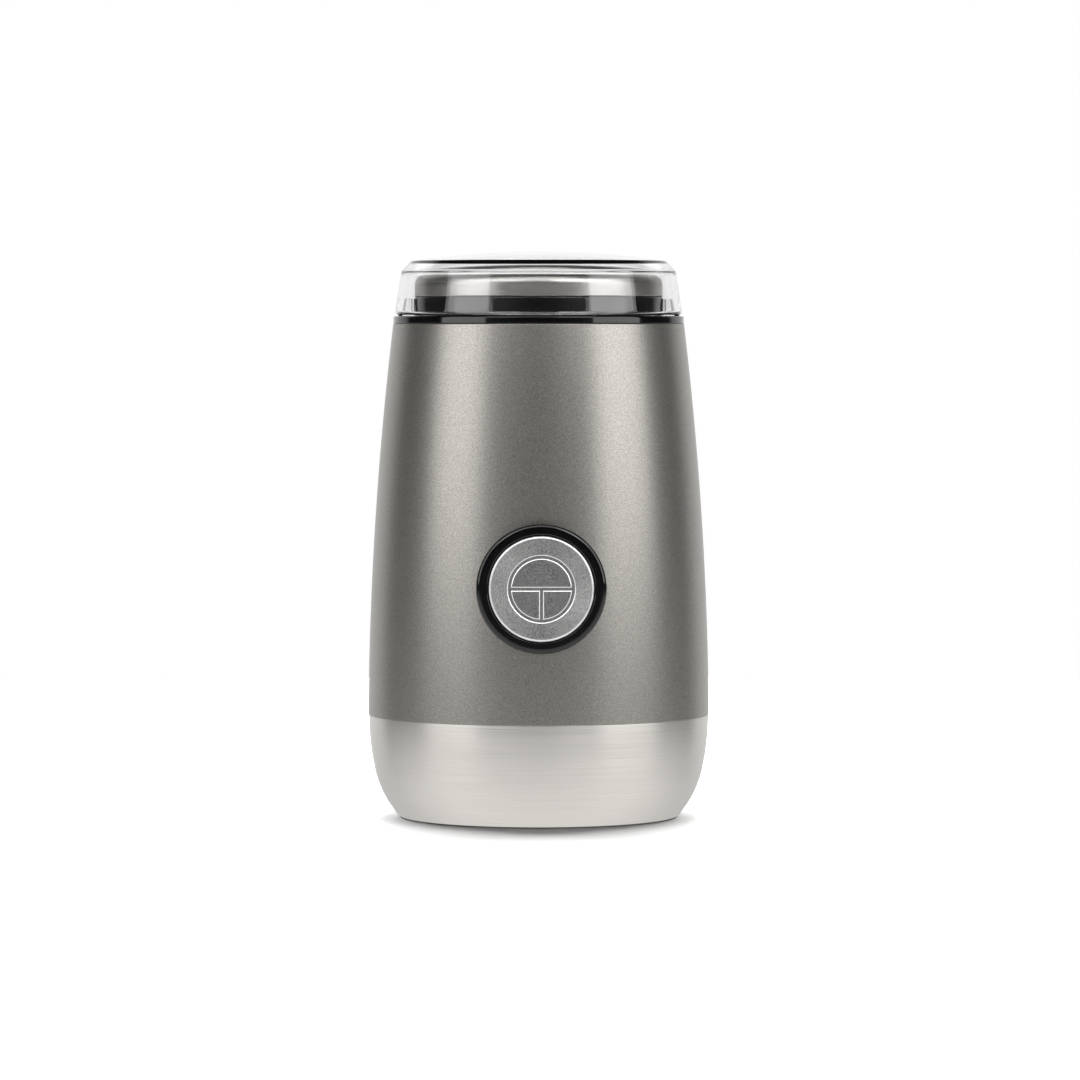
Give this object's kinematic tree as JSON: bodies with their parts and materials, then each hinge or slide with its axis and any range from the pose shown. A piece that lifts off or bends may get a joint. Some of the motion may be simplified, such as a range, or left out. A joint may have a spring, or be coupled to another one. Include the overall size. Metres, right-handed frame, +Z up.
{
  "type": "electric coffee grinder",
  "caption": "Electric blade coffee grinder: waisted satin body on a steel foot band, steel bowl under a clear lift-off lid, large round push button in front.",
  "frame": {"origin": "middle of the footprint, on the surface that the feet stand on", "axes": "+Z up along the motor axis, -Y the front with the button, +Y the back with the cord gland"},
  "size_m": [0.1, 0.1016, 0.1657],
  "materials": {
    "body_paint": "satin metallic grey paint",
    "band_steel": "fine brushing round the band",
    "black_gloss": "polished black",
    "clear_plastic": "clear, polished",
    "button_satin": "satin, bright edge",
    "black_plastic": "moulded",
    "white_plastic": "moulded",
    "red_plastic": "moulded",
    "rubber": "soft black",
    "bowl_steel": "drawn, brushed round",
    "blade_steel": "ground",
    "screw_steel": "zinc plated",
    "shaft_steel": "ground",
    "stack_steel": "varnished laminations",
    "copper": "enamelled wire",
    "brass": "turned",
    "bronze": "oil-filled bush",
    "carbon": "pressed carbon",
    "cast_aluminium": "die cast",
    "spring_steel": "drawn wire",
    "capacitor_case": "potted case",
    "wire_sleeve": "insulated lead"
  },
  "bodies": {
    "housing": {"body_shell": "body_paint", "base_band": "band_steel", "base_tray": "black_plastic", "rubber_feet": "rubber", "base_screws": "screw_steel", "cord_gland": "rubber", "bowl_collar": "black_gloss", "bowl_holder": "black_plastic", "collar_screws": "screw_steel", "bowl": "bowl_steel", "bowl_bush": "brass", "bowl_nut": "screw_steel", "shaft_seal": "rubber", "stator_core": "stack_steel", "field_coils": "copper", "upper_bracket": "cast_aluminium", "lower_bracket": "cast_aluminium", "upper_bearing": "bronze", "lower_bearing": "bronze", "brush_holders": "brass", "carbon_brushes": "carbon", "brush_springs": "spring_steel", "motor_screws": "screw_steel", "rubber_mounts": "rubber", "mount_screws": "screw_steel", "button_bezel": "black_gloss", "button_guide": "black_plastic", "guide_screws": "screw_steel", "button_spring": "spring_steel", "start_switch": "black_plastic", "start_switch_screws": "screw_steel", "interlock_spring": "spring_steel", "lid_switch": "black_plastic", "lid_switch_screws": "screw_steel", "terminal_block": "white_plastic", "terminal_screws": "brass", "suppression_capacitor": "capacitor_case", "wiring": "wire_sleeve"},
    "lid": {"lid": "clear_plastic"},
    "button": {"button_cap": "button_satin", "button_carrier": "black_plastic"},
    "rotor": {"motor_shaft": "shaft_steel", "blade_hub": "brass", "blade": "blade_steel", "blade_nut": "screw_steel", "armature_core": "stack_steel", "armature_winding": "copper", "commutator": "copper", "thrust_washers": "bronze", "cooling_fan": "black_plastic"},
    "interlock": {"interlock_pin": "white_plastic"},
    "lid_plunger": {"lid_switch_plunger": "red_plastic"},
    "start_plunger": {"start_switch_plunger": "red_plastic"}
  },
  "joints": [
    {"name": "lid_lift", "type": "slide", "parent": "housing", "child": "lid", "axis": [0, 0, 1], "range_m": [0, 0.06]},
    {"name": "button_press", "type": "slide", "parent": "housing", "child": "button", "axis": [0, 1, 0], "range_m": [0, 0.002], "stiffness_N_per_m": 1500, "springref_m": -0.001, "deforming": ["button_spring"]},
    {"name": "rotor_spin", "type": "hinge", "parent": "housing", "child": "rotor", "pos_m": [0, 0, 0.08], "axis": [0, 0, 1], "continuous": true},
    {"name": "interlock_rise", "type": "slide", "parent": "housing", "child": "interlock", "axis": [0, 0, 1], "range_m": [0, 0.003], "deforming": ["interlock_spring"]},
    {"name": "lid_switch_rise", "type": "slide", "parent": "housing", "child": "lid_plunger", "axis": [0, 0, 1], "range_m": [0, 0.0006]},
    {"name": "start_switch_press", "type": "slide", "parent": "housing", "child": "start_plunger", "axis": [0, 1, 0], "range_m": [0, 0.002]}
  ],
  "couplings": [
    {"joint": "interlock_rise", "follows": "lid_lift", "ratio": 0.05},
    {"joint": "lid_switch_rise", "follows": "lid_lift", "ratio": 0.01},
    {"joint": "start_switch_press", "follows": "button_press", "ratio": 1}
  ]
}
